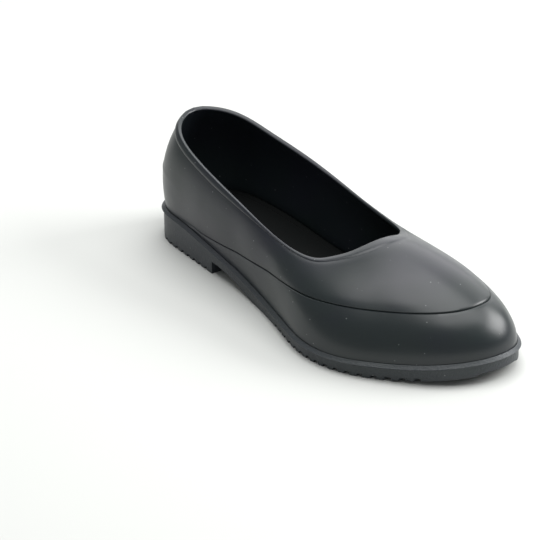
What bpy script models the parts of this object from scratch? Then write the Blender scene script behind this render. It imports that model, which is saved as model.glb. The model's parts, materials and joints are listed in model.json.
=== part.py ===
"""Rubber overshoe for the right foot, as three solids: upper, outsole and insole.

Metres. +X points to the toe, +Y to the wearer's left, +Z up, and the sole stands on Z = 0.
Every ring of points starts at the heel's back and runs along the outer side (-Y) to the toe,
then back along the inner side, so a column has the same number in every ring.
"""
import math

import bmesh
import bpy
import numpy as np

# Driving sizes of the shoe
LENGTH = 0.305
BALL_WIDTH = 0.122
HEEL_HEIGHT = 0.083
QUARTER_HEIGHT = 0.049
THROAT_HEIGHT = 0.059
APRON_HEIGHT = 0.0415

# Upper: wall, collar bead, apron line and the kick ledge on the heel's back
WALL = 0.0022
BELLY = 0.0040
BEAD_PROUD = 0.0011
BEAD_HEIGHT = 0.0042
BEAD_EASE = 0.0006
APRON_GROOVE_DEPTH = 0.0006
APRON_GROOVE_HALF = 0.0009
APRON_ABOVE_RIM = 0.0012
KICK_HEIGHT = 0.050
KICK_PROUD = 0.0009

# Outsole: rim, side wall, tray, heel, waist and toe
RIM_HEIGHT = 0.0092
TOE_RIM = 0.0012
RIM_PROUD = 0.0027
RIM_EASE = 0.0009
RIM_BEAD_HEIGHT = 0.0024
SIDE_STEP = 0.0005
EDGE_BEVEL = 0.0007
TRAY_DEPTH = 0.0053
HEEL_LIFT = 0.0130
WAIST_HEIGHT = 0.0085
TOE_SPRING = 0.0067
TOE_STEP = 0.0016

# Tread grooves run straight across, and their ends notch the sole's lower edge
GROOVE_PITCH = 0.0073
GROOVE_WIDTH = 0.0030
GROOVE_TAPER = 0.0006
GROOVE_DEPTH = 0.0014

# Insole, and the gap that separately made pieces keep
INSOLE_THICKNESS = 0.0018
FIT_GAP = 0.0003

# Places along the sole, as shares of LENGTH from the heel's back
HEEL_SEAT_END = 0.10
HEEL_BREAST = 0.27
WAIST_END = 0.53
TREAD_END = 0.91
SPRING_START = 0.80
TOE_RIM_START = 0.73
TOE_RIM_FULL = 0.84
TOE_STEP_START = 0.976
BEAD_END = 0.50

# One row for each fold of the shoe, from the heel's back to the toe tip, lateral and medial alike.
# Sole edge: sole_along is a share of LENGTH; sole_half and sole_swing (half width, and the
# sideways place of its middle, + to the inner side) are shares of BALL_WIDTH.
# Collar: top_along, top_half and top_swing likewise. rise runs from 0 at QUARTER_HEIGHT to 1 at
# HEEL_HEIGHT, or at THROAT_HEIGHT in the rows past the lowest one.
# Wall: sweep is the angle in degrees that its curve has turned at the collar, belly a share of
# BELLY, and apron the apron line's height as a share of APRON_HEIGHT.
SECTIONS = (
    # sole_along, sole_half, sole_swing, top_along, top_half, top_swing, rise, sweep, belly, apron
    (0.000, 0.000, 0.000, 0.0445, 0.000, 0.000, 1.00, 50, 0.76, 0.55),
    (0.045, 0.235, 0.000, 0.0875, 0.182, 0.001, 0.885, 50, 0.78, 0.55),
    (0.140, 0.299, 0.001, 0.172, 0.252, 0.002, 0.66, 50, 0.80, 0.55),
    (0.250, 0.324, -0.003, 0.2685, 0.283, 0.002, 0.468, 50, 0.75, 0.57),
    (0.360, 0.339, -0.011, 0.369, 0.302, -0.003, 0.282, 51.5, 0.68, 0.64),
    (0.470, 0.375, -0.024, 0.464, 0.311, -0.014, 0.115, 54.5, 0.55, 0.723),
    (0.580, 0.445, -0.035, 0.545, 0.305, -0.023, 0.02, 58, 0.37, 0.785),
    (0.680, 0.500, -0.043, 0.601, 0.279, -0.025, 0.01, 62, 0.12, 0.831),
    (0.780, 0.480, -0.028, 0.628, 0.230, -0.023, 0.20, 67, 0.00, 0.870),
    (0.863, 0.397, 0.008, 0.649, 0.172, -0.021, 0.475, 72.5, 0.05, 0.900),
    (0.937, 0.280, 0.036, 0.661, 0.115, -0.019, 0.743, 76.5, 0.25, 0.942),
    (0.986, 0.143, 0.062, 0.667, 0.057, -0.016, 0.933, 79, 0.42, 0.975),
    (1.000, 0.000, 0.068, 0.669, 0.000, -0.015, 1.00, 80, 0.42, 0.990),
)
LOWEST_ROW = 6
COLUMNS_PER_ROW = 4

# Rows of the wall as shares of the way up it: sole to apron line, then apron line to collar bead
LOWER_ROWS = (0.16, 0.36, 0.60, 0.82)
MIDDLE_ROWS = (0.10, 0.22, 0.34)
KICK_ROWS = (-0.030, 0.0, 0.045)
UPPER_ROWS = (0.58, 0.70, 0.82, 0.92)
KICK_SHARE = 0.46
INNER_ROWS = (0.97, 0.86, 0.74, 0.62, 0.50, 0.38, 0.26, 0.15, 0.06)

RUBBER = {"upper": (0.022, 0.024, 0.026), "outsole": (0.030, 0.031, 0.032), "insole": (0.012, 0.013, 0.014)}
ROUGHNESS = {"upper": 0.46, "outsole": 0.58, "insole": 0.80}


def clear_scene():
    for thing in list(bpy.data.objects):
        bpy.data.objects.remove(thing, do_unlink=True)


def ease(value):
    """Smooth step from 0 to 1."""
    value = np.clip(value, 0.0, 1.0)
    return value * value * (3.0 - 2.0 * value)


def closed_curve(rows):
    """Periodic cubic spline through the rows of a ring, sampled COLUMNS_PER_ROW times a row."""
    rows = np.asarray(rows, float)
    count = len(rows)
    system = 4.0 * np.eye(count) + np.roll(np.eye(count), 1, 0) + np.roll(np.eye(count), -1, 0)
    ahead = np.roll(rows, -1, 0)
    bend = np.linalg.solve(system, 6.0 * (ahead - 2.0 * rows + np.roll(rows, 1, 0)))
    bend_ahead = np.roll(bend, -1, 0)
    samples = []
    for step in range(COLUMNS_PER_ROW):
        right = step / COLUMNS_PER_ROW
        left = 1.0 - right
        curve = left * rows + right * ahead
        curve += ((left ** 3 - left) * bend + (right ** 3 - right) * bend_ahead) / 6.0
        samples.append(curve)
    return np.stack(samples, 1).reshape(-1, rows.shape[1])


def outward(ring):
    """Level unit vectors that point out of a ring, one for each column."""
    along = np.roll(ring, -1, 0)[:, :2] - np.roll(ring, 1, 0)[:, :2]
    across = np.stack([along[:, 1], -along[:, 0]], 1)
    return across / np.linalg.norm(across, axis=1)[:, None]


def waist(along):
    """1 over the heel seat, easing to 0 at the ball of the foot."""
    return 1.0 - ease((along - HEEL_SEAT_END) / (WAIST_END - HEEL_SEAT_END))


def spring(along):
    """Height of the toe spring at a share of the length."""
    return TOE_SPRING * np.maximum(along - SPRING_START, 0.0) ** 2 / (1.0 - SPRING_START) ** 2


def rim_height(along):
    """Height of the rim's top, which rises over the heel and once more at the toe."""
    toe = ease((along - TOE_RIM_START) / (TOE_RIM_FULL - TOE_RIM_START))
    return RIM_HEIGHT + HEEL_LIFT * waist(along) + TOE_RIM * toe + 0.9 * spring(along)


def tray_height(along):
    return rim_height(along) - TRAY_DEPTH


class Last:
    """The shoe's shape: rings of columns worked out from SECTIONS and the driving sizes."""

    def __init__(self):
        half = np.array(SECTIONS)
        ring = np.vstack([half, half[-2:0:-1]])
        side = np.r_[-np.ones(len(half)), np.ones(len(half) - 2)]
        row = np.r_[np.arange(len(half)), np.arange(len(half) - 2, 0, -1)]
        peak = np.where(row <= LOWEST_ROW, HEEL_HEIGHT, THROAT_HEIGHT)
        edge = np.stack([ring[:, 0] * LENGTH, (ring[:, 2] + side * ring[:, 1]) * BALL_WIDTH], 1)
        top = np.stack([ring[:, 3] * LENGTH, (ring[:, 5] + side * ring[:, 4]) * BALL_WIDTH], 1)
        height = QUARTER_HEIGHT + ring[:, 6] * (peak - QUARTER_HEIGHT)

        self.edge = closed_curve(edge)
        span = np.ptp(self.edge[:, 0])
        self.edge[:, 0] = (self.edge[:, 0] - self.edge[:, 0].min()) * LENGTH / span
        self.middle = (self.edge.min(0) + self.edge.max(0)) / 2.0
        self.along = self.edge[:, 0] / LENGTH
        self.out = outward(self.edge)
        self.base = self.edge - self.out * RIM_PROUD
        self.rim = rim_height(self.along)
        self.tray = tray_height(self.along)

        self.top = closed_curve(top)
        self.top_height = closed_curve(height[:, None])[:, 0]
        wall = closed_curve(ring[:, 7:10])
        self.sweep = np.radians(wall[:, 0])
        self.belly = BELLY * wall[:, 1]
        apron = APRON_HEIGHT * wall[:, 2]
        self.apron_share = self.share_at(np.maximum(apron, self.rim + APRON_ABOVE_RIM))
        self.bead = 1.0 - ease((self.top[:, 0] / LENGTH - 0.5 * BEAD_END) / (0.5 * BEAD_END))
        self.heel_back = 1.0 - ease(self.along / 0.10)
        self.apron_depth = APRON_GROOVE_DEPTH * ease((self.along - 0.12) / 0.15)

    def share_at(self, height):
        """Share of the way up the wall at which each column reaches a height."""
        part = np.clip((height - self.rim) / (self.top_height - self.rim), 0.0, 1.0)
        return np.arcsin(part * np.sin(self.sweep)) / self.sweep

    def wall(self, share):
        """Smooth outer surface of the wall at a share of the way up each column."""
        turned = share * self.sweep
        inward = (1.0 - np.cos(turned)) / (1.0 - np.cos(self.sweep))
        upward = np.sin(turned) / np.sin(self.sweep)
        level = self.base + (self.top - self.base) * inward[:, None]
        level += self.out * (self.belly * np.sin(math.pi * share))[:, None]
        height = self.rim + (self.top_height - self.rim) * upward
        return np.column_stack([level, height])

    def facing(self, share):
        """Unit vectors that point out of the wall."""
        small = 0.01
        low = np.clip(share - small, 0.0, 1.0)
        high = np.clip(share + small, 0.0, 1.0)
        here = self.wall(share)
        along = np.roll(here, -1, 0) - np.roll(here, 1, 0)
        across = np.cross(along, self.wall(high) - self.wall(low))
        return across / np.linalg.norm(across, axis=1)[:, None]

    def raised(self, share, proud):
        """The wall moved outward by a distance, inward where it is negative."""
        return self.wall(share) + self.facing(share) * np.broadcast_to(proud, share.shape)[:, None]

    def level_ring(self, inset, height):
        """Ring at the sole's edge moved inward, at a height for each column."""
        return np.column_stack([self.edge - self.out * inset, np.broadcast_to(height, self.along.shape)])


def placed(last, ring):
    """Points moved so that the sole's outline is centred on the origin."""
    return ring - np.array([last.middle[0], last.middle[1], 0.0])


def mesh_object(name, points, faces):
    mesh = bpy.data.meshes.new(name)
    mesh.from_pydata([tuple(point) for point in points], [], faces)
    mesh.validate()
    thing = bpy.data.objects.new(name, mesh)
    bpy.context.scene.collection.objects.link(thing)
    return thing


def band_faces(rings, columns, closed):
    """Faces between neighbouring rings, and from the last ring to the first where closed."""
    faces = []
    for ring in range(rings if closed else rings - 1):
        above = (ring + 1) % rings
        for column in range(columns):
            ahead = (column + 1) % columns
            faces.append((ring * columns + column, ring * columns + ahead,
                          above * columns + ahead, above * columns + column))
    return faces


def cap_faces(start, columns, upward):
    """Strips from side to side that close a ring, facing up or down."""
    faces = []
    half = columns // 2
    for column in range(half):
        corners = [column, column + 1, (columns - column - 1) % columns, (columns - column) % columns]
        corners = list(dict.fromkeys(corners))
        if not upward:
            corners.reverse()
        faces.append(tuple(start + corner for corner in corners))
    return faces


def smooth(thing, angle=35.0):
    """Round surfaces shaded smooth, with edges sharper than the angle kept."""
    mesh = thing.data
    form = bmesh.new()
    form.from_mesh(mesh)
    for face in form.faces:
        face.smooth = True
    for edge in form.edges:
        edge.smooth = len(edge.link_faces) == 2 and edge.calc_face_angle(0.0) < math.radians(angle)
    form.to_mesh(mesh)
    form.free()


def finish(thing):
    """The piece's own rubber."""
    rubber = bpy.data.materials.new(thing.name + "_rubber")
    rubber.use_nodes = True
    shader = rubber.node_tree.nodes["Principled BSDF"]
    shader.inputs["Base Color"].default_value = (*RUBBER[thing.name], 1.0)
    shader.inputs["Roughness"].default_value = ROUGHNESS[thing.name]
    shader.inputs["Metallic"].default_value = 0.0
    thing.data.materials.append(rubber)
    smooth(thing)


def outer_rings(last):
    """Rings of the upper's outside, from the tray to the collar's outer edge."""
    zero = np.zeros(len(last.along))
    foot = last.level_ring(RIM_PROUD, last.tray + FIT_GAP)
    rings = [foot, last.wall(zero)]
    apron = last.apron_share
    rise = (last.top_height - last.rim) * last.sweep * np.cos(apron * last.sweep) / np.sin(last.sweep)
    slope = np.hypot(rise, np.linalg.norm(last.top - last.base, axis=1) * np.sin(apron * last.sweep))
    half = APRON_GROOVE_HALF / slope
    below = apron - half
    above = apron + half
    for share in LOWER_ROWS:
        rings.append(last.raised(share * below, 0.0))
    rings.append(last.raised(below, 0.0))
    rings.append(last.raised(apron, -last.apron_depth))
    rings.append(last.raised(above, 0.0))

    bead_foot = last.share_at(last.top_height - BEAD_HEIGHT)
    bead_foot = bead_foot * last.bead + (1.0 - last.bead) * (1.0 - 0.05)
    kick = last.share_at(np.full(len(last.along), KICK_HEIGHT))
    kick = last.heel_back * (kick - above) / (bead_foot - above) + (1.0 - last.heel_back) * KICK_SHARE
    kick_proud = (0.0, KICK_PROUD, 0.0)
    for share in MIDDLE_ROWS:
        rings.append(last.raised(above + share * (bead_foot - above), 0.0))
    for offset, proud in zip(KICK_ROWS, kick_proud):
        share = above + (kick + offset) * (bead_foot - above)
        rings.append(last.raised(share, proud * last.heel_back))
    for share in UPPER_ROWS:
        rings.append(last.raised(above + share * (bead_foot - above), 0.0))

    proud = BEAD_PROUD * last.bead
    rings.append(last.raised(bead_foot, 0.0))
    rings.append(last.raised(bead_foot + 0.12 * (1.0 - bead_foot), 0.75 * proud))
    rings.append(last.raised(bead_foot + 0.45 * (1.0 - bead_foot), proud))
    top = last.raised(np.ones(len(zero)), proud)
    eased = top.copy()
    eased[:, 2] -= BEAD_EASE
    rings.append(eased)
    return rings


def collar_rings(last):
    """Rounded top of the collar, from its outside to its inside."""
    one = np.ones(len(last.along))
    proud = BEAD_PROUD * last.bead
    outer = last.raised(one, proud - BEAD_EASE)
    inner = last.raised(one, BEAD_EASE - WALL)
    return [outer, inner]


def inner_rings(last):
    """Rings of the upper's inside, from the collar down to the tray."""
    rings = []
    top = last.raised(np.ones(len(last.along)), -WALL)
    top[:, 2] -= BEAD_EASE
    rings.append(top)
    for share in INNER_ROWS:
        rings.append(last.raised(np.full(len(last.along), share), -WALL))
    rings.append(last.level_ring(RIM_PROUD + WALL, last.rim))
    rings.append(last.level_ring(RIM_PROUD + WALL, last.tray + FIT_GAP))
    return rings


def make_upper(last):
    rings = outer_rings(last) + collar_rings(last) + inner_rings(last)
    points = placed(last, np.vstack(rings))
    return mesh_object("upper", points, band_faces(len(rings), len(last.along), closed=True))


def groove_places():
    """Middles of the tread's grooves: the forefoot's from its front back, the heel's from the breast."""
    places = []
    front = TREAD_END * LENGTH
    while front > WAIST_END * LENGTH:
        places.append(front)
        front -= GROOVE_PITCH
    heel = HEEL_BREAST * LENGTH - GROOVE_PITCH
    while heel > GROOVE_PITCH:
        places.append(heel)
        heel -= GROOVE_PITCH
    return sorted(places)


def prism(name, outline, half_width):
    """Straight cutter across the sole from an outline of (along, height) points."""
    count = len(outline)
    points = [(x, side * half_width, z) for side in (-1.0, 1.0) for x, z in outline]
    faces = [tuple(range(count)), tuple(range(2 * count - 1, count - 1, -1))]
    for corner in range(count):
        ahead = (corner + 1) % count
        faces.append((corner, corner + count, ahead + count, ahead))
    thing = mesh_object(name, points, faces)
    form = bmesh.new()
    form.from_mesh(thing.data)
    bmesh.ops.recalc_face_normals(form, faces=form.faces)
    form.to_mesh(thing.data)
    form.free()
    thing.hide_render = True
    thing.display_type = "WIRE"
    return thing


def tread_cutters(last):
    """Cutters for the grooves, the raised waist and the step at the toe."""
    below = -0.004
    width = BALL_WIDTH
    cutters = []
    for number, middle in enumerate(groove_places()):
        floor = float(spring(middle / LENGTH))
        outline = (
            (middle - GROOVE_WIDTH / 2 - GROOVE_TAPER, below),
            (middle + GROOVE_WIDTH / 2 + GROOVE_TAPER, below),
            (middle + GROOVE_WIDTH / 2, floor + GROOVE_DEPTH),
            (middle - GROOVE_WIDTH / 2, floor + GROOVE_DEPTH),
        )
        cutters.append((f"groove_cutter_{number:02d}", outline))
    steps = 10
    arch = [(HEEL_BREAST * LENGTH, below)]
    for step in range(steps + 1):
        share = step / steps
        x = (HEEL_BREAST + share * (WAIST_END - HEEL_BREAST)) * LENGTH
        arch.append((x, below * ease(share) + WAIST_HEIGHT * (1.0 - ease(share))))
    cutters.append(("waist_cutter", tuple(arch[:-1]) + ((WAIST_END * LENGTH, below),)))
    toe = TOE_STEP_START * LENGTH
    lift = float(spring(TOE_STEP_START)) + TOE_STEP
    tip = float(spring(1.0)) + TOE_STEP
    outline = ((toe, below), (LENGTH + width, below), (LENGTH + width, tip), (LENGTH, tip), (toe + TOE_STEP, lift))
    cutters.append(("toe_cutter", outline))
    things = []
    for name, outline in cutters:
        shifted = tuple((x - last.middle[0], z) for x, z in outline)
        things.append(prism(name, shifted, width))
    return things


def make_outsole(last):
    ground = spring(last.along)
    side = RIM_EASE + SIDE_STEP
    rings = [
        last.level_ring(side + EDGE_BEVEL, ground),
        last.level_ring(side, ground + EDGE_BEVEL),
        last.level_ring(side, last.rim - RIM_BEAD_HEIGHT - SIDE_STEP),
        last.level_ring(RIM_EASE / 3, last.rim - RIM_BEAD_HEIGHT),
        last.level_ring(0.0, last.rim - RIM_BEAD_HEIGHT / 2),
        last.level_ring(RIM_EASE / 3, last.rim - RIM_EASE / 2),
        last.level_ring(RIM_EASE, last.rim),
        last.level_ring(RIM_PROUD - FIT_GAP, last.rim),
        last.level_ring(RIM_PROUD - FIT_GAP, last.tray),
    ]
    columns = len(last.along)
    faces = cap_faces(0, columns, upward=False)
    faces += band_faces(len(rings), columns, closed=False)
    faces += cap_faces((len(rings) - 1) * columns, columns, upward=True)
    outsole = mesh_object("outsole", placed(last, np.vstack(rings)), faces)
    for cutter in tread_cutters(last):
        cut = outsole.modifiers.new(cutter.name, "BOOLEAN")
        cut.operation = "DIFFERENCE"
        cut.solver = "EXACT"
        cut.object = cutter
    return outsole


def make_insole(last):
    inset = RIM_PROUD + WALL + FIT_GAP
    rings = [
        last.level_ring(inset, last.tray + FIT_GAP),
        last.level_ring(inset, last.tray + FIT_GAP + INSOLE_THICKNESS),
    ]
    columns = len(last.along)
    faces = cap_faces(0, columns, upward=False)
    faces += band_faces(len(rings), columns, closed=False)
    faces += cap_faces(columns, columns, upward=True)
    return mesh_object("insole", placed(last, np.vstack(rings)), faces)


def main():
    clear_scene()
    last = Last()
    for piece in (make_upper(last), make_outsole(last), make_insole(last)):
        finish(piece)


main()
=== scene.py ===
"""Rubber overshoe for the right foot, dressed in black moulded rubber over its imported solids.

Laid out as an add-on and run as a script. Metres: +X to the toe, +Y to the wearer's left, +Z up.
"""
import json
import math

import bmesh
import bpy
import numpy as np
from bpy.props import FloatProperty, FloatVectorProperty, PointerProperty
from mathutils import Matrix, Vector

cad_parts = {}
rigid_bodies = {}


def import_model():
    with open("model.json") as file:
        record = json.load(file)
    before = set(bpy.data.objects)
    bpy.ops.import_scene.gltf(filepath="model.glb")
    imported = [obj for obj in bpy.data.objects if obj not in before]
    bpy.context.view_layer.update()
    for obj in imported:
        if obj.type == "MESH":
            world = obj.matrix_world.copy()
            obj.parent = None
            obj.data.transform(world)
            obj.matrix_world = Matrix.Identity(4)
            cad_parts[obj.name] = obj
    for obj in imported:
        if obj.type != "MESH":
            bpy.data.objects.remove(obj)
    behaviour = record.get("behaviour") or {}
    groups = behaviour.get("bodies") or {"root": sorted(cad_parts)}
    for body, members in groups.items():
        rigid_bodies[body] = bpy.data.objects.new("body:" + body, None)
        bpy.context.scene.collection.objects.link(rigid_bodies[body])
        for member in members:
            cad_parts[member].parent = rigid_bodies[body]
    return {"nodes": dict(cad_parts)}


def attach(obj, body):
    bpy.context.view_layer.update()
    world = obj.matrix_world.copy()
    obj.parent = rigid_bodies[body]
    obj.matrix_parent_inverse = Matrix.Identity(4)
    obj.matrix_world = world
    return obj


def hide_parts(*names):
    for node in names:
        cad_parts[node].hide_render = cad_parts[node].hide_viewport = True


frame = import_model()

bl_info = {
    "name": "Rubber overshoe",
    "version": (1, 0, 0),
    "blender": (4, 5, 0),
    "location": "3D View > Sidebar > Overshoe",
    "description": "Upper, outsole, insole and studio of a moulded rubber overshoe",
    "category": "Object",
}

# The shoe's own sizes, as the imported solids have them. Starts and ends along it are shares of LENGTH
LENGTH = 0.305
HEEL_BACK = -LENGTH / 2
BALL_WIDTH = 0.122
RIM_HEIGHT = 0.0092
HEEL_LIFT = 0.0130
TOE_RIM = 0.0012
RIM_SPRING = 0.9  # share of the toe spring that the rim's top follows
RIM_BEAD = 0.0029  # from the rim's top down to the side wall
SIDE_STEP = 0.0005
HEEL_SEAT_END = 0.10
TOE_RIM_START = 0.73
TOE_RIM_FULL = 0.84
TREAD_END = 0.91
WAIST_END = 0.53
HEEL_BREAST = 0.27
SPRING_START = 0.80
TOE_SPRING = 0.0067
TOE_STEP_START = 0.976
TOE_STEP = 0.0016
WAIST_HEIGHT = 0.0085
GROOVE_PITCH = 0.0073
GROOVE_WIDTH = 0.0030
GROOVE_TAPER = 0.0006

# The scene's own tread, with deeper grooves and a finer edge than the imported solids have
GROOVE_DEPTH = 0.0020
EDGE_EASE = 0.0005
SIPE_PITCH = 0.0125
SIPE_WIDTH = 0.0011
SIPE_SWING = -0.002
SIPE_LAP = 0.0002
SIPES_A_SIDE = 4
TREAD_HALF_BALL = 0.043
TREAD_HALF_HEEL = 0.027

# How far cutters reach below the ground, and the sizes of the arch's and the toe's cutters
CUT_BELOW = 0.004
SIPE_BELOW = 0.002
ARCH_STEPS = 24
ARCH_THICK = 0.02
WEDGE_LONG = 0.03
WEDGE_REACH = 4.0  # the wedge's slope runs on past the toe's tip, to about four times the length of the step

# Apron line: where it is looked for, where it starts at the heel and is full, as shares of LENGTH, and
# from where to the toe's tip its lips are softer and catch the light
APRON_HIGHEST = 0.0425
APRON_BACK = -0.11
LINE_START = 0.16
LINE_FULL = 0.28
LIPS_SOFT_FROM = 0.122
LIPS_SOFT_SHARE = 0.6

# Line beside the collar: the bead's foot at the heel, and where the line starts and is full
BEAD_FOOT_LOWEST = 0.072
BEAD_FOOT_BACK = -0.12
THROAT_LINE_START = 0.30
THROAT_LINE_FULL = 0.50

# How firmly edges are held when a piece is rounded
FIRM = 1.0
THROAT_LINE_HOLD = 0.9
LIP_HOLD = 0.8
FOOTBED_HOLD = 0.7

# Folds that count as a pressed line or a corner, and the sharpest folds that are shaded smooth
LINE_FOLD = math.radians(14)
CORNER_FOLD = math.radians(60)
UPPER_SMOOTH = math.radians(28)
OUTSOLE_SMOOTH = math.radians(30)

# Distances under which vertices are one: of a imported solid, and of a rounded piece
MERGE = 0.00001
SLIVER = 0.00002
SUBDIVISIONS = 2

# The rim's slope from its lower edge to its flat top: height from the rim's top, and how far in
RIM_SLOPE = (
    (-0.0024, 0.0003),
    (-0.0018, 0.0),
    (-0.0009, 0.0012),
    (0.0, 0.0022),
)
RIM_LEVELS = (-0.0024, -0.0012, -0.00045, 0.0)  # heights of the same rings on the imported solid
RIM_LOWEST = 1.4 * RIM_LEVELS[0]
WALL_HIGHEST = 0.8 * SIDE_STEP - RIM_BEAD  # faces wholly below this are the side wall and the tread
FACES_UP = 0.5

# Fine cuts across the plain toe of the tread: share of the length, and half width
TOE_CUTS = (
    (0.928, 0.026),
    (0.942, 0.021),
    (0.956, 0.015),
)
TOE_MIDDLE = 0.011

# Rings pressed round the footbed: how far in, and depth as a share of the channel's
FOOTBED_RINGS = (
    (0.0012, 0.0),
    (0.0028, 0.0),
    (0.0006, -1.0),
    (0.0006, 1.0),
    (0.0012, 0.0),
)
FOOTBED_FACES_UP = 0.7

# Rubber: casts of its cloudy tone, scales of its noises, and its specks of dust
GREEN_CAST = (-0.14, 0.03, 0.03)
VIOLET_CAST = (0.05, -0.04, 0.30)
CLOUD_SCALE = 14.0
HAZE_SCALE = 55.0
SWELL_SCALE = 32.0
SWELL_HEIGHT = 0.0006
SPECK_SCALE = 300.0
SPECK_COLOUR = (0.24, 0.25, 0.25, 1.0)
SPECK_CORE = 0.07
SPECK_EDGE = 0.13
SPECK_COVER = 0.75

# Soft lights: place, the point that each one faces, width and height
LIGHTS = {
    "overhead": ((0.0, 0.15, 1.5), (0.0, 0.0, 0.0), 1.5, 1.5),
    "beyond_toe": ((0.55, 0.95, 0.70), (0.14, 0.015, 0.03), 0.8, 0.6),
    "backdrop": ((-1.12, 1.12, 0.85), (0.0, 0.0, 0.05), 2.4, 1.5),
}
SKY = (0.97, 0.99, 1.0, 1.0)
FLOOR_SIZE = 12.0
SHOE_MIDDLE = (0.0, 0.0051, 0.040)

# Waves of the wall: place along the shoe as a share of its length, height, side (-1 outer),
# half length as a share of the length, half height, and depth as a share of the flex depth.
# FLEX_MIDDLE is where outer and inner side meet.
FLEX_MIDDLE = 0.004
FLEX_WAVES = (
    # share, height, side, long, high, part
    (0.36, 0.034, -1, 0.030, 0.012, 1.0),
    (0.43, 0.032, -1, 0.026, 0.011, -0.6),
    (0.50, 0.030, -1, 0.034, 0.010, 0.9),
    (0.17, 0.044, -1, 0.040, 0.014, 0.6),
    (0.33, 0.034, 1, 0.030, 0.012, 0.8),
    (0.41, 0.031, 1, 0.028, 0.011, -0.6),
    (0.49, 0.029, 1, 0.034, 0.010, 1.0),
    (0.15, 0.046, 1, 0.040, 0.014, 0.6),
)


def along(x):
    return min(max((x - HEEL_BACK) / LENGTH, 0.0), 1.0)


def ease(value):
    value = min(max(value, 0.0), 1.0)
    return value * value * (3.0 - 2.0 * value)


def spring(share):
    """Height of the toe spring."""
    return TOE_SPRING * max(share - SPRING_START, 0.0) ** 2 / (1.0 - SPRING_START) ** 2


def rim_height(share):
    """Height of the rim's top."""
    heel = 1.0 - ease((share - HEEL_SEAT_END) / (WAIST_END - HEEL_SEAT_END))
    toe = ease((share - TOE_RIM_START) / (TOE_RIM_FULL - TOE_RIM_START))
    return RIM_HEIGHT + HEEL_LIFT * heel + TOE_RIM * toe + RIM_SPRING * spring(share)


class OvershoeSizes(bpy.types.PropertyGroup):
    """Sizes and colours of the dressed overshoe."""

    apron_deepen: FloatProperty(
        name="Apron groove", description="How much deeper the line round the toe is pressed in",
        default=0.0006, min=0.0, max=0.001, subtype="DISTANCE", unit="LENGTH", precision=5)
    apron_tighten: FloatProperty(
        name="Apron line width", description="How far the lips of the apron line are drawn together",
        default=0.42, min=0.0, max=0.8, subtype="FACTOR")
    collar_line: FloatProperty(
        name="Throat line", description="Depth of the line that runs round the throat beside its edge",
        default=0.0004, min=0.0, max=0.001, subtype="DISTANCE", unit="LENGTH", precision=5)
    sipe_depth: FloatProperty(
        name="Sipe depth", description="Depth of the fine cuts that part the tread bars into blocks",
        default=0.0008, min=0.0002, max=0.0012, subtype="DISTANCE", unit="LENGTH", precision=5)
    channel_depth: FloatProperty(
        name="Insole channel", description="Depth of the line pressed round the footbed",
        default=0.0004, min=0.0, max=0.001, subtype="DISTANCE", unit="LENGTH", precision=5)
    flex_depth: FloatProperty(
        name="Flex waves", description="Depth of the soft waves where the rubber flexes",
        default=0.0005, min=0.0, max=0.002, subtype="DISTANCE", unit="LENGTH", precision=5)
    upper_colour: FloatVectorProperty(
        name="Upper", description="Colour of the upper's rubber", subtype="COLOR", size=3,
        default=(0.0140, 0.0174, 0.0186), min=0.0, max=1.0)
    outsole_colour: FloatVectorProperty(
        name="Outsole", description="Colour of the outsole's rubber", subtype="COLOR", size=3,
        default=(0.031, 0.037, 0.040), min=0.0, max=1.0)
    # The footbed's own black rubber, darkened well below the upper's colour as painted shade for the inside
    # of the shoe, where little light reaches
    insole_colour_and_shade: FloatVectorProperty(
        name="Insole", description="Colour of the footbed", subtype="COLOR", size=3,
        default=(0.004, 0.005, 0.005), min=0.0, max=1.0)
    dust: FloatProperty(
        name="Dust", description="Share of the surface cells that hold a speck of dust",
        default=0.14, min=0.0, max=1.0, subtype="FACTOR")


class OvershoeStudio(bpy.types.PropertyGroup):
    """Camera, lights and floor. The camera's values come from a least-squares fit to the photograph."""

    azimuth: FloatProperty(
        name="Azimuth", description="Camera's place round the shoe, 0 looks along +Y",
        default=math.radians(50.438), subtype="ANGLE", unit="ROTATION")
    elevation: FloatProperty(
        name="Elevation", description="Camera's height above the floor, as an angle",
        default=math.radians(25.199), subtype="ANGLE", unit="ROTATION")
    distance: FloatProperty(
        name="Distance", description="From the camera to the middle of the shoe",
        default=1.5638, min=0.5, subtype="DISTANCE", unit="LENGTH")
    turn: FloatProperty(
        name="Turn", description="Camera turned aside from the middle of the shoe",
        default=math.radians(-1.333), subtype="ANGLE", unit="ROTATION")
    tilt: FloatProperty(
        name="Tilt", description="Camera tilted up from the middle of the shoe",
        default=math.radians(-0.756), subtype="ANGLE", unit="ROTATION")
    roll: FloatProperty(
        name="Roll", description="Camera rolled about its own line of sight",
        default=math.radians(0.155), subtype="ANGLE", unit="ROTATION")
    lens: FloatProperty(
        name="Lens", description="Focal length on a 36 mm sensor",
        default=167.0, min=20.0, subtype="DISTANCE_CAMERA")
    floor_colour: FloatVectorProperty(
        name="Floor", description="Colour of the floor", subtype="COLOR", size=3,
        default=(0.63, 0.64, 0.62), min=0.0, max=1.0)
    overhead: FloatProperty(
        name="Overhead light", description="Power of the soft light above",
        default=26.0, min=0.0, unit="POWER")
    side: FloatProperty(
        name="Side light", description="Power of the soft light beyond the toe",
        default=14.5, min=0.0, unit="POWER")
    backdrop: FloatProperty(
        name="Backdrop", description="Power of the broad light behind the shoe",
        default=18.0, min=0.0, unit="POWER")
    fill: FloatProperty(
        name="Fill", description="Strength of the light from all round", default=0.30, min=0.0, max=4.0)


# Modelling helpers

def alone(thing):
    """Selects and activates one object only."""
    bpy.ops.object.select_all(action="DESELECT")
    thing.select_set(True)
    bpy.context.view_layer.objects.active = thing


def editing(mode="VERT"):
    bpy.ops.object.mode_set(mode="EDIT")
    bpy.ops.mesh.select_mode(type=mode)


def done_editing():
    bpy.ops.object.mode_set(mode="OBJECT")


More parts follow.
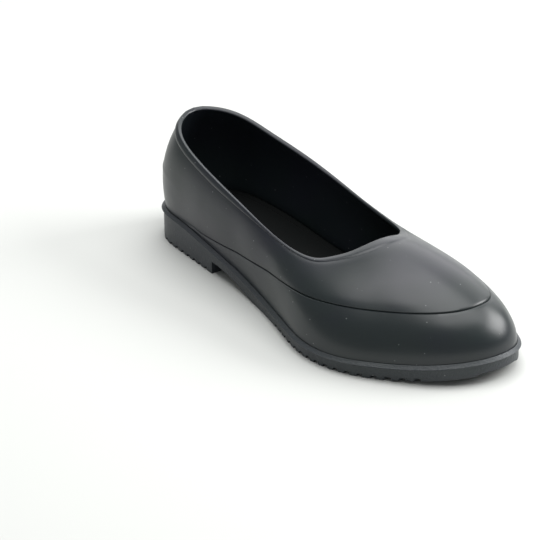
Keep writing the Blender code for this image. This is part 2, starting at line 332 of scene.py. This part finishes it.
def pick(piece, kind, test):
    """Selects in edit mode the vertices, edges or faces that a test accepts, and returns how many."""
    form = bmesh.from_edit_mesh(piece.data)
    for items in (form.verts, form.edges, form.faces):
        for item in items:
            item.select = False
    found = [item for item in getattr(form, kind) if test(item)]
    for item in found:
        item.select_set(True)
    form.select_flush_mode()
    bmesh.update_edit_mesh(piece.data)
    return len(found)


def pressed_in(edge):
    """True for an edge that is the bottom of a fold inward."""
    return len(edge.link_faces) == 2 and edge.calc_face_angle_signed() < -LINE_FOLD


def merged_copy(node, name):
    """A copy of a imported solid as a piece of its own: one skin of four-sided faces."""
    alone(frame["nodes"][node])
    bpy.ops.object.duplicate()
    piece = bpy.context.view_layer.objects.active
    piece.name = name
    piece.data.name = name
    bpy.ops.object.parent_clear(type="CLEAR_KEEP_TRANSFORM")
    for key in [key for key in piece.keys() if key.startswith("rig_")]:
        del piece[key]
    piece.data.materials.clear()
    while piece.data.uv_layers:
        piece.data.uv_layers.remove(piece.data.uv_layers[0])
    bpy.ops.mesh.customdata_custom_splitnormals_clear()
    editing()
    bpy.ops.mesh.select_all(action="SELECT")
    bpy.ops.mesh.remove_doubles(threshold=MERGE)
    bpy.ops.mesh.mark_sharp(clear=True)
    bpy.ops.mesh.tris_convert_to_quads(
        face_threshold=math.pi, shape_threshold=math.pi, topology_influence=1.0)
    done_editing()
    return piece


def refine(piece):
    """Rounds a piece with a subdivision surface, which is applied, and clears the slivers that it leaves."""
    alone(piece)
    round_off = piece.modifiers.new("round_off", "SUBSURF")
    round_off.levels = SUBDIVISIONS
    round_off.render_levels = SUBDIVISIONS
    round_off.use_limit_surface = True
    bpy.ops.object.modifier_apply(modifier=round_off.name)
    editing()
    bpy.ops.mesh.select_all(action="SELECT")
    bpy.ops.mesh.remove_doubles(threshold=SLIVER)
    done_editing()


def crease(piece, test, amount):
    """Holds the chosen edges when the piece is rounded."""
    alone(piece)
    editing("EDGE")
    count = pick(piece, "edges", test)
    if count:
        bpy.ops.transform.edge_crease(value=amount)
    done_editing()
    return count


def tighten(piece, test, share, deeper):
    """Draws the lips of a pressed line together, holds them crisp and presses its bottom further in."""
    alone(piece)
    editing("EDGE")
    pick(piece, "edges", test)
    form = bmesh.from_edit_mesh(piece.data)
    bottom = [vert for vert in form.verts if vert.select]  # a list, so that each run gives the same lips
    within = set(bottom)
    moves = {}
    for vert in bottom:
        fade = ease((along(vert.co.x) - LINE_START) / (LINE_FULL - LINE_START))
        for edge in vert.link_edges:
            lip = edge.other_vert(vert)
            if lip not in within:
                moves[lip] = lip.co + (vert.co - lip.co) * share * fade
        moves[vert] = vert.co - vert.normal * deeper * fade
    for vert, place in moves.items():
        vert.co = place
    lips = set(moves) - within
    bmesh.update_edit_mesh(piece.data)
    pick(piece, "edges", lambda edge: lips.issuperset(edge.verts))
    bpy.ops.transform.edge_crease(value=LIP_HOLD * LIPS_SOFT_SHARE)
    pick(piece, "edges", lambda edge: lips.issuperset(edge.verts) and edge.verts[0].co.x < LIPS_SOFT_FROM)
    bpy.ops.transform.edge_crease(value=LIP_HOLD * (1.0 - LIPS_SOFT_SHARE))
    done_editing()


def ring_order(verts):
    """Vertices of a closed ring in their order, from the heel's back."""
    left = set(verts)
    here = min(verts, key=lambda vert: vert.co.x)
    order = []
    while here is not None:
        order.append(here)
        left.discard(here)
        beside = (edge.other_vert(here) for edge in here.link_edges)
        here = next((vert for vert in beside if vert in left), None)
    return order


def joined(things, name):
    alone(things[0])
    for thing in things:
        thing.select_set(True)
    bpy.ops.object.join()
    whole = bpy.context.view_layer.objects.active
    whole.name = name
    return whole


def cut(piece, cutter):
    """Cuts a piece with another object, which is then removed."""
    alone(piece)
    taking = piece.modifiers.new("taking", "BOOLEAN")
    taking.operation = "DIFFERENCE"
    taking.solver = "EXACT"
    taking.object = cutter
    bpy.ops.object.modifier_apply(modifier=taking.name)
    bpy.data.objects.remove(cutter, do_unlink=True)


def block(name, place, size):
    """A box at its place and size, as the start of a cutter."""
    bpy.ops.object.select_all(action="DESELECT")
    bpy.ops.mesh.primitive_cube_add(size=1.0, location=place, scale=size)
    thing = bpy.context.view_layer.objects.active
    thing.name = name
    bpy.ops.object.transform_apply(location=True, rotation=True, scale=True)
    return thing


def positions(piece):
    places = np.zeros(len(piece.data.vertices) * 3)
    piece.data.vertices.foreach_get("co", places)
    return places.reshape(-1, 3)


def place_vertices(piece, places):
    piece.data.vertices.foreach_set("co", places.astype(np.float32).ravel())
    piece.data.update()


def hand_over(piece, node, look):
    """Gives a finished piece its rubber and its body, and hides the imported solid that it stands for."""
    piece.data.materials.clear()
    piece.data.materials.append(look)
    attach(piece, "root")
    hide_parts(node)


def need(count, what):
    if not count:
        raise RuntimeError(f"{what} wasn't found on the shoe")


# Materials

def add(tree, kind, inputs=None, **settings):
    """One shader node with its settings, and its inputs as values or as links."""
    made = tree.nodes.new(kind)
    for key, value in settings.items():
        setattr(made, key, value)
    for key, value in (inputs or {}).items():
        if isinstance(value, bpy.types.NodeSocket):
            tree.links.new(value, made.inputs[key])
        else:
            made.inputs[key].default_value = value
    return made


def spread(tree, value, low, high, to_low, to_high):
    """A value's range from low to high, stretched to another."""
    inputs = {"Value": value, "From Min": low, "From Max": high, "To Min": to_low, "To Max": to_high}
    return add(tree, "ShaderNodeMapRange", inputs, clamp=True).outputs["Result"]


def blended(tree, share, first, second):
    """Colour that goes from first to second with a share."""
    mixed = add(tree, "ShaderNodeMix", data_type="RGBA")
    for index, value in ((0, share), (6, first), (7, second)):
        if isinstance(value, bpy.types.NodeSocket):
            tree.links.new(value, mixed.inputs[index])
        else:
            mixed.inputs[index].default_value = value
    return mixed.outputs[2]


def moulded_rubber(name, colour, tint, roughness, shine, grain_size, grain_height, dust):
    """Black moulded rubber: cloudy tone, hazy gloss, fine skin grain and a few specks of dust."""
    look = bpy.data.materials.new(name)
    look.use_nodes = True
    tree = look.node_tree
    shader = tree.nodes["Principled BSDF"]
    place = add(tree, "ShaderNodeTexCoord").outputs["Object"]

    cloud = add(tree, "ShaderNodeTexNoise",
                {"Vector": place, "Scale": CLOUD_SCALE, "Detail": 3.0, "Roughness": 0.5})
    haze = add(tree, "ShaderNodeTexNoise",
               {"Vector": place, "Scale": HAZE_SCALE, "Detail": 5.0, "Roughness": 0.6})
    grain = add(tree, "ShaderNodeTexNoise",
                {"Vector": place, "Scale": 1.0 / grain_size, "Detail": 2.0, "Roughness": 0.55})
    swell = add(tree, "ShaderNodeTexNoise",
                {"Vector": place, "Scale": SWELL_SCALE, "Detail": 1.0, "Roughness": 0.4})

    green = (*(part * (1.0 + tint * more) for part, more in zip(colour, GREEN_CAST)), 1.0)
    violet = (*(part * (1.0 + tint * more) for part, more in zip(colour, VIOLET_CAST)), 1.0)
    tone = blended(tree, spread(tree, cloud.outputs["Fac"], 0.38, 0.62, 0.0, 1.0), violet, green)

    cell = add(tree, "ShaderNodeTexVoronoi", {"Vector": place, "Scale": SPECK_SCALE, "Randomness": 1.0})
    speck = spread(tree, cell.outputs["Distance"], SPECK_CORE, SPECK_EDGE, 1.0, 0.0)
    pick_cell = add(tree, "ShaderNodeSeparateColor", {"Color": cell.outputs["Color"]}).outputs["Red"]
    chosen = spread(tree, pick_cell, 1.0 - dust - 0.01, 1.0 - dust, 0.0, SPECK_COVER)
    specks = add(tree, "ShaderNodeMath", {0: speck, 1: chosen}, operation="MULTIPLY").outputs[0]
    finished = blended(tree, specks, tone, SPECK_COLOUR)
    tree.links.new(finished, shader.inputs["Base Color"])

    gloss = spread(tree, haze.outputs["Fac"], 0.3, 0.7, roughness - 0.02, roughness + 0.04)
    tree.links.new(gloss, shader.inputs["Roughness"])
    shader.inputs["IOR"].default_value = 1.5
    shader.inputs["Specular IOR Level"].default_value = shine

    soft = add(tree, "ShaderNodeBump",
               {"Height": swell.outputs["Fac"], "Distance": SWELL_HEIGHT, "Strength": 0.35})
    fine = add(tree, "ShaderNodeBump",
               {"Height": grain.outputs["Fac"], "Distance": grain_height, "Strength": 0.6,
                "Normal": soft.outputs["Normal"]})
    tree.links.new(fine.outputs["Normal"], shader.inputs["Normal"])
    return look


def groove_places():
    """Middles of the tread's grooves, as distances from the heel's back."""
    places = []
    front = TREAD_END * LENGTH
    while front > WAIST_END * LENGTH:
        places.append(front)
        front -= GROOVE_PITCH
    heel = HEEL_BREAST * LENGTH - GROOVE_PITCH
    while heel > GROOVE_PITCH:
        places.append(heel)
        heel -= GROOVE_PITCH
    return sorted(places)


# The pieces

class OVERSHOE_OT_upper(bpy.types.Operator):
    """The hollow upper with its collar bead, apron groove and kick ledge"""

    bl_idname = "overshoe.upper"
    bl_label = "Upper"

    def execute(self, context):
        sizes = context.scene.overshoe_sizes
        piece = merged_copy("upper", "overshoe_upper")

        def groove(edge):
            high = max(vert.co.z for vert in edge.verts)
            ahead = edge.verts[0].co.x > APRON_BACK
            return pressed_in(edge) and high < APRON_HIGHEST and ahead

        need(crease(piece, groove, FIRM), "the apron groove")
        tighten(piece, groove, sizes.apron_tighten, sizes.apron_deepen)
        self.draw_collar_line(piece, sizes.collar_line)
        refine(piece)
        self.flex(piece, sizes.flex_depth)
        alone(piece)
        bpy.ops.object.shade_smooth_by_angle(angle=UPPER_SMOOTH)
        look = moulded_rubber("upper_rubber", sizes.upper_colour, tint=1.0, roughness=0.32, shine=0.5,
                              grain_size=0.0006, grain_height=0.00002, dust=sizes.dust)
        hand_over(piece, "upper", look)
        return {"FINISHED"}

    def draw_collar_line(self, piece, deep):
        """Carries the foot of the collar's bead on round the throat as a lightly pressed line."""

        def bead_foot_at_heel(edge):
            low = min(vert.co.z for vert in edge.verts)
            back = max(vert.co.x for vert in edge.verts)
            return pressed_in(edge) and low > BEAD_FOOT_LOWEST and back < BEAD_FOOT_BACK

        alone(piece)
        editing("EDGE")
        need(pick(piece, "edges", bead_foot_at_heel), "the collar's bead")
        bpy.ops.mesh.loop_multi_select(ring=False)
        form = bmesh.from_edit_mesh(piece.data)
        line = [vert for vert in form.verts if vert.select]
        places = []
        for vert in line:
            part = ease((along(vert.co.x) - THROAT_LINE_START) / (THROAT_LINE_FULL - THROAT_LINE_START))
            places.append(vert.co - vert.normal * deep * part)
        for vert, place in zip(line, places):
            vert.co = place
        bmesh.update_edit_mesh(piece.data)
        bpy.ops.transform.edge_crease(value=THROAT_LINE_HOLD)
        done_editing()

    def flex(self, piece, depth):
        """Soft waves in the wall where the rubber flexes, through both of its faces."""
        places = positions(piece)
        for share, height, side, long, high, part in FLEX_WAVES:
            middle = HEEL_BACK + share * LENGTH
            away = ((places[:, 0] - middle) / (long * LENGTH)) ** 2 + ((places[:, 2] - height) / high) ** 2
            near = np.sign(places[:, 1] - FLEX_MIDDLE) == side
            places[:, 1] -= side * near * depth * part * np.exp(-away)
        place_vertices(piece, places)


class OVERSHOE_OT_outsole(bpy.types.Operator):
    """The outsole with its rim, side wall, heel, waist and grooved tread"""

    bl_idname = "overshoe.outsole"
    bl_label = "Outsole"

    def execute(self, context):
        sizes = context.scene.overshoe_sizes
        piece = merged_copy("outsole", "overshoe_outsole")
        self.strip_tread(piece)
        self.slope_rim(piece)
        self.draw_wall(piece)
        need(crease(piece, self.tray_corner, FIRM), "the tray")
        refine(piece)
        cut(piece, self.main_cutters())
        cut(piece, self.sipe_cutters(sizes.sipe_depth))
        alone(piece)
        bpy.ops.object.shade_smooth_by_angle(angle=OUTSOLE_SMOOTH)
        look = moulded_rubber("outsole_rubber", sizes.outsole_colour, tint=0.3, roughness=0.46, shine=0.5,
                              grain_size=0.0012, grain_height=0.0006, dust=sizes.dust)
        hand_over(piece, "outsole", look)
        return {"FINISHED"}

    @staticmethod
    def tray_corner(edge):
        """The tray's lip and the corner round its floor, which stay square for the upper and the insole."""
        height = edge.verts[0].co.z - spring(along(edge.verts[0].co.x))
        return height > 2.0 * EDGE_EASE and edge.calc_face_angle(0.0) > CORNER_FOLD

    def strip_tread(self, piece):
        """Takes away everything below the rim's bead and leaves the rim with its tray."""

        def below_bead(face):
            heights = (vert.co.z - rim_height(along(vert.co.x)) for vert in face.verts)
            return face.normal.z < FACES_UP and max(heights) < WALL_HIGHEST

        alone(piece)
        editing("FACE")
        need(pick(piece, "faces", below_bead), "the sole's wall")
        bpy.ops.mesh.delete(type="FACE")
        done_editing()

    def slope_rim(self, piece):
        """Slopes the rim back from its lower edge, so that it shows as a strip along the shoe."""
        alone(piece)
        editing()
        form = bmesh.from_edit_mesh(piece.data)
        rings = {}
        for vert in form.verts:
            rise = vert.co.z - rim_height(along(vert.co.x))
            if rise > RIM_LOWEST and not vert.is_boundary:
                rings[vert] = min(range(len(RIM_LEVELS)), key=lambda number: abs(rise - RIM_LEVELS[number]))
        moves = {}
        for start in [vert for vert, number in rings.items() if number == 0]:
            column = [start]
            for number in range(1, len(RIM_LEVELS)):
                above = (edge.other_vert(column[-1]) for edge in column[-1].link_edges)
                column.append(next(vert for vert in above if rings.get(vert) == number))
            inward = column[3].co - column[1].co
            inward.z = 0.0
            inward.normalize()
            outermost = column[1].co.copy()
            for vert, (drop, depth) in zip(column, RIM_SLOPE):
                place = outermost + inward * depth
                place.z = column[3].co.z + drop
                moves[vert] = place
        for vert, place in moves.items():
            vert.co = place
        bmesh.update_edit_mesh(piece.data)
        done_editing()

    def draw_wall(self, piece):
        """Draws the side wall down from the rim to the ground and closes it with strips across.

        The first ring is set down by the edge's ease, the second on its height and the third on the ground.
        """
        alone(piece)
        editing("EDGE")
        bpy.ops.mesh.select_all(action="DESELECT")
        bpy.ops.mesh.select_non_manifold()
        for rise in (None, EDGE_EASE, 0.0):
            bpy.ops.mesh.extrude_edges_move()
            form = bmesh.from_edit_mesh(piece.data)
            for vert in form.verts:
                if vert.select:
                    floor = spring(along(vert.co.x))
                    vert.co.z = vert.co.z - EDGE_EASE if rise is None else floor + rise
            bmesh.update_edit_mesh(piece.data)
        bpy.ops.mesh.edge_face_add()
        bpy.ops.mesh.select_mode(type="FACE")
        bpy.ops.mesh.inset(thickness=EDGE_EASE, use_even_offset=False)
        form = bmesh.from_edit_mesh(piece.data)
        sole = next(face for face in form.faces if face.select)
        order = ring_order(list(sole.verts))
        for number in range(1, len(order) // 2):
            pair = [order[number], order[-number]]
            bmesh.ops.connect_verts(form, verts=pair)
        bmesh.update_edit_mesh(piece.data)
        bpy.ops.mesh.select_all(action="SELECT")
        bpy.ops.mesh.normals_make_consistent(inside=False)
        done_editing()

    def main_cutters(self):
        """Tapered bars for the grooves, an arch for the waist and a wedge for the toe step."""
        cutters = [self.groove_cutter(middle) for middle in groove_places()]
        cutters.append(self.arch_cutter())
        cutters.append(self.toe_cutter())
        return joined(cutters, "tread_cutter")

    @staticmethod
    def groove_cutter(middle):
        """A bar straight across the sole, wider at the ground than in the groove."""
        floor = spring(middle / LENGTH)
        bar = block("groove_cutter", (HEEL_BACK + middle, 0.0, floor + (GROOVE_DEPTH - CUT_BELOW) / 2),
                    (GROOVE_WIDTH, 2.0 * BALL_WIDTH, GROOVE_DEPTH + CUT_BELOW))
        for vert in bar.data.vertices:
            if vert.co.z < floor:
                vert.co.x += math.copysign(GROOVE_TAPER * 2.0, vert.co.x - HEEL_BACK - middle)
        return bar

    @staticmethod
    def arch_cutter():
        """What is taken from under the waist, from the heel's breast down to the ball."""
        waist_long = (WAIST_END - HEEL_BREAST) * LENGTH
        bpy.ops.object.select_all(action="DESELECT")
        bpy.ops.mesh.primitive_grid_add(
            x_subdivisions=ARCH_STEPS, y_subdivisions=1, size=1.0,
            location=(HEEL_BACK + HEEL_BREAST * LENGTH + waist_long / 2, 0.0, 0.0))
        arch = bpy.context.view_layer.objects.active
        arch.scale = (waist_long, 2.0 * BALL_WIDTH, 1.0)
        bpy.ops.object.transform_apply(location=True, rotation=True, scale=True)
        for vert in arch.data.vertices:
            share = (vert.co.x - HEEL_BACK - HEEL_BREAST * LENGTH) / waist_long
            vert.co.z = -CUT_BELOW * ease(share) + WAIST_HEIGHT * (1.0 - ease(share))
        editing("FACE")
        bpy.ops.mesh.select_all(action="SELECT")
        bpy.ops.mesh.extrude_region_move(TRANSFORM_OT_translate={"value": (0.0, 0.0, -ARCH_THICK)})
        bpy.ops.mesh.select_all(action="SELECT")
        bpy.ops.mesh.normals_make_consistent(inside=False)
        done_editing()
        return arch

    @staticmethod
    def toe_cutter():
        """A wedge that lifts the sole's edge by a step at the toe's tip."""
        toe = HEEL_BACK + TOE_STEP_START * LENGTH
        middle = toe + WEDGE_LONG / 2
        lift = spring(TOE_STEP_START) + TOE_STEP
        tip = spring(1.0) + TOE_STEP
        wedge = block("toe_cutter", (middle, 0.0, lift / 2 - CUT_BELOW / 2),
                      (WEDGE_LONG, 2.0 * BALL_WIDTH, lift + CUT_BELOW))
        for vert in wedge.data.vertices:
            if vert.co.z > 0.0:
                vert.co.x += TOE_STEP if vert.co.x < middle else 0.0
                vert.co.z = lift if vert.co.x < middle else lift + (tip - lift) * WEDGE_REACH
        return wedge

    def sipe_cutters(self, depth):
        """Fine cuts that part each tread bar into blocks, set in turn like bricks."""
        cutters = []
        places = groove_places()
        bars = [(back + front) / 2 for back, front in zip(places, places[1:])
                if front - back < 1.5 * GROOVE_PITCH]
        for number, middle in enumerate(bars):
            share = middle / LENGTH
            half = TREAD_HALF_HEEL if share < HEEL_BREAST else TREAD_HALF_BALL
            shift = SIPE_PITCH / 2 if number % 2 else 0.0
            floor = spring(share)
            for step in range(-SIPES_A_SIDE, SIPES_A_SIDE + 1):
                y = step * SIPE_PITCH + shift + SIPE_SWING
                if abs(y) < half:
                    cutters.append(block(
                        "sipe_cutter", (HEEL_BACK + middle, y, floor + depth / 2 - SIPE_BELOW / 2),
                        (GROOVE_PITCH - GROOVE_WIDTH + 2.0 * SIPE_LAP, SIPE_WIDTH, depth + SIPE_BELOW)))
        for share, half in TOE_CUTS:
            cutters.append(block(
                "sipe_cutter",
                (HEEL_BACK + share * LENGTH, TOE_MIDDLE, spring(share) + depth / 2 - SIPE_BELOW / 2),
                (SIPE_WIDTH, 2.0 * half, depth + SIPE_BELOW)))
        return joined(cutters, "sipe_cutter")


class OVERSHOE_OT_insole(bpy.types.Operator):
    """The thin footbed inside"""

    bl_idname = "overshoe.insole"
    bl_label = "Insole"

    def execute(self, context):
        sizes = context.scene.overshoe_sizes
        piece = merged_copy("insole", "overshoe_insole")
        alone(piece)
        editing("FACE")
        need(pick(piece, "faces", lambda face: face.normal.z > FOOTBED_FACES_UP), "the footbed's top")
        for thickness, part in FOOTBED_RINGS:
            bpy.ops.mesh.inset(thickness=thickness, depth=part * sizes.channel_depth, use_even_offset=False)
        done_editing()
        crease(piece, lambda edge: edge.calc_face_angle(0.0) > CORNER_FOLD, FOOTBED_HOLD)
        refine(piece)
        bpy.ops.object.shade_smooth()
        # The footbed's colour is partly its own black rubber and partly painted shade, darker than the upper
        # to stand for the shade inside the shoe
        look = moulded_rubber("insole_rubber", sizes.insole_colour_and_shade, tint=0.0, roughness=0.85, shine=0.15,
                              grain_size=0.0009, grain_height=0.00008, dust=0.0)
        hand_over(piece, "insole", look)
        return {"FINISHED"}


def soft_light(name, place, target, width, height, power):
    """A large soft light that faces a point."""
    light = bpy.data.lights.new(name, "AREA")
    light.shape = "RECTANGLE"
    light.size = width
    light.size_y = height
    light.energy = power
    holder = bpy.data.objects.new(name, light)
    bpy.context.scene.collection.objects.link(holder)
    holder.location = place
    holder.rotation_euler = (Vector(target) - Vector(place)).to_track_quat("-Z", "Y").to_euler()
    holder.visible_camera = False


class OVERSHOE_OT_studio(bpy.types.Operator):
    """Pale floor, soft lights and the camera at the photograph's angle"""

    bl_idname = "overshoe.studio"
    bl_label = "Studio"

    def execute(self, context):
        studio = context.scene.overshoe_studio
        bpy.ops.object.select_all(action="DESELECT")
        bpy.ops.mesh.primitive_plane_add(size=FLOOR_SIZE, location=(0.0, 0.0, 0.0))
        floor = bpy.context.view_layer.objects.active
        floor.name = "studio_floor"
        paint = bpy.data.materials.new("studio_floor")
        paint.use_nodes = True
        shader = paint.node_tree.nodes["Principled BSDF"]
        shader.inputs["Base Color"].default_value = (*studio.floor_colour, 1.0)
        shader.inputs["Roughness"].default_value = 0.8
        shader.inputs["Specular IOR Level"].default_value = 0.2
        floor.data.materials.append(paint)

        world = bpy.data.worlds.new("studio_world")
        context.scene.world = world
        world.use_nodes = True
        light = world.node_tree.nodes["Background"]
        light.inputs["Color"].default_value = SKY
        light.inputs["Strength"].default_value = studio.fill

        soft_light("overhead", *LIGHTS["overhead"], studio.overhead)
        soft_light("beyond_toe", *LIGHTS["beyond_toe"], studio.side)
        soft_light("backdrop", *LIGHTS["backdrop"], studio.backdrop)

        self.camera(context, studio)
        context.scene.view_settings.view_transform = "Standard"
        return {"FINISHED"}

    def camera(self, context, studio):
        """Looks at the shoe's middle, then turns, tilts and rolls by the studio's angles."""
        lens = bpy.data.cameras.new("studio_camera")
        camera = bpy.data.objects.new("studio_camera", lens)
        context.scene.collection.objects.link(camera)
        around, up_angle = studio.azimuth, studio.elevation
        back = Vector((math.sin(around) * math.cos(up_angle), -math.cos(around) * math.cos(up_angle),
                       math.sin(up_angle)))
        right = (-back).cross(Vector((0.0, 0.0, 1.0))).normalized()
        up = right.cross(-back)
        ahead = -back * math.cos(studio.turn) + right * math.sin(studio.turn)
        right = right * math.cos(studio.turn) + back * math.sin(studio.turn)
        ahead, up = (ahead * math.cos(studio.tilt) + up * math.sin(studio.tilt),
                     up * math.cos(studio.tilt) - ahead * math.sin(studio.tilt))
        right, up = (right * math.cos(studio.roll) + up * math.sin(studio.roll),
                     up * math.cos(studio.roll) - right * math.sin(studio.roll))
        axes = Matrix((right, up, -ahead)).transposed()
        camera.matrix_world = Matrix.Translation(
            Vector(SHOE_MIDDLE) + back * studio.distance) @ axes.to_4x4()
        lens.sensor_width = 36.0
        lens.lens = studio.lens
        lens.clip_start = 0.05
        lens.clip_end = 30.0
        lens.dof.use_dof = False
        context.scene.camera = camera


class OVERSHOE_PT_panel(bpy.types.Panel):
    """Sizes, colours and pieces of the overshoe"""

    bl_idname = "OVERSHOE_PT_panel"
    bl_label = "Rubber overshoe"
    bl_space_type = "VIEW_3D"
    bl_region_type = "UI"
    bl_category = "Overshoe"

    def draw(self, context):
        layout = self.layout
        for group in (context.scene.overshoe_sizes, context.scene.overshoe_studio):
            box = layout.box()
            for name in group.__annotations__:
                box.prop(group, name)
        for operator in OPERATORS:
            layout.operator(operator.bl_idname)


OPERATORS = (OVERSHOE_OT_upper, OVERSHOE_OT_outsole, OVERSHOE_OT_insole, OVERSHOE_OT_studio)
CLASSES = (OvershoeSizes, OvershoeStudio, *OPERATORS, OVERSHOE_PT_panel)


def register():
    for kind in CLASSES:
        bpy.utils.register_class(kind)
    bpy.types.Scene.overshoe_sizes = PointerProperty(type=OvershoeSizes)
    bpy.types.Scene.overshoe_studio = PointerProperty(type=OvershoeStudio)


def unregister():
    del bpy.types.Scene.overshoe_studio
    del bpy.types.Scene.overshoe_sizes
    for kind in reversed(CLASSES):
        bpy.utils.unregister_class(kind)


def main():
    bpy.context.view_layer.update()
    register()
    bpy.ops.overshoe.upper()
    bpy.ops.overshoe.outsole()
    bpy.ops.overshoe.insole()
    bpy.ops.overshoe.studio()
    bpy.context.view_layer.update()


if __name__ == "__main__":
    main()
